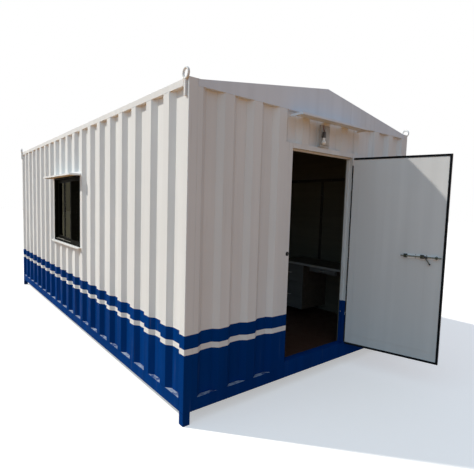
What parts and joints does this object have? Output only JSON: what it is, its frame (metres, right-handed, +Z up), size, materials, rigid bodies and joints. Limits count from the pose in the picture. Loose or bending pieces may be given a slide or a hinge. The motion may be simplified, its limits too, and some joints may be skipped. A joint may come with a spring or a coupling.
{
  "type": "portable cabin",
  "caption": "Portable site cabin on a steel frame with corrugated walls, a low gable roof, a hinged outward door with a slide bolt, a sliding window and a desk with drawers.",
  "frame": {"origin": "on the ground, under the middle of the box round the whole cabin with its door standing open and its canopies and lifting eyes", "axes": "+Z up, -Y towards the door end, -X towards the window side"},
  "size_m": [3.2, 6.9915, 2.795],
  "materials": {
    "white_paint": "gloss enamel",
    "blue_paint": "gloss enamel",
    "roof_steel": "satin enamel",
    "lining_board": "laminated board",
    "joint_strip": "satin",
    "floor_board": "vinyl over board",
    "dark_aluminium": "anodised",
    "window_glass": "clear",
    "seal_rubber": "matt",
    "fitting_steel": "zinc plated",
    "lamp_plastic": "moulded",
    "bulb_opal": "opal",
    "desk_board": "laminated board",
    "drawer_board": "laminated board"
  },
  "bodies": {
    "cabin": {"stub_feet": "blue_paint", "base_rails": "blue_paint", "floor_joists": "blue_paint", "floor_deck": "floor_board", "corner_posts": "white_paint", "top_side_rails": "white_paint", "gable_panels": "white_paint", "ridge_beam_tube": "roof_steel", "roof_sheets": "roof_steel", "ridge_cap": "roof_steel", "ceiling_panel": "lining_board", "left_wall_sheet": "white_paint", "right_wall_sheet": "white_paint", "rear_wall_sheet": "white_paint", "front_wall_sheets": "white_paint", "front_wall_over_door": "white_paint", "left_lining": "lining_board", "right_lining": "lining_board", "rear_lining": "lining_board", "front_lining": "lining_board", "front_lining_over_door": "lining_board", "lining_battens": "joint_strip", "window_surround": "white_paint", "window_frame": "dark_aluminium", "window_sashes": "dark_aluminium", "window_glass": "window_glass", "window_canopy": "white_paint", "window_sill": "white_paint", "door_jambs": "white_paint", "door_head": "white_paint", "door_sill": "blue_paint", "door_stops": "white_paint", "bolt_keeper": "fitting_steel", "frame_hinges": "fitting_steel", "door_canopy": "white_paint", "lamp_fitting": "lamp_plastic", "lamp_bulb": "bulb_opal", "lifting_eyes": "white_paint", "desk": "desk_board", "drawer_case": "drawer_board"},
    "door": {"door_leaf": "white_paint", "door_seal": "seal_rubber", "leaf_hinges": "fitting_steel", "bolt_guides": "fitting_steel"},
    "bolt": {"bolt_rod": "fitting_steel"},
    "upper_drawer": {"upper_drawer": "drawer_board"},
    "lower_drawer": {"lower_drawer": "drawer_board"},
    "desk_tray": {"desk_tray": "drawer_board"}
  },
  "joints": [
    {"name": "door_swing", "type": "hinge", "parent": "cabin", "child": "door", "pos_m": [0.5145, -2.61579, 1.225], "axis": [0, 0, 1], "range_deg": [-106, 69]},
    {"name": "bolt_slide", "type": "slide", "parent": "door", "child": "bolt", "axis": [0.2756, -0.9613, 0], "range_m": [0, 0.028]},
    {"name": "upper_drawer_slide", "type": "slide", "parent": "cabin", "child": "upper_drawer", "axis": [-1, 0, 0], "range_m": [0, 0.3]},
    {"name": "lower_drawer_slide", "type": "slide", "parent": "cabin", "child": "lower_drawer", "axis": [-1, 0, 0], "range_m": [0, 0.3]},
    {"name": "desk_tray_slide", "type": "slide", "parent": "cabin", "child": "desk_tray", "axis": [-1, 0, 0], "range_m": [0, 0.25]}
  ]
}
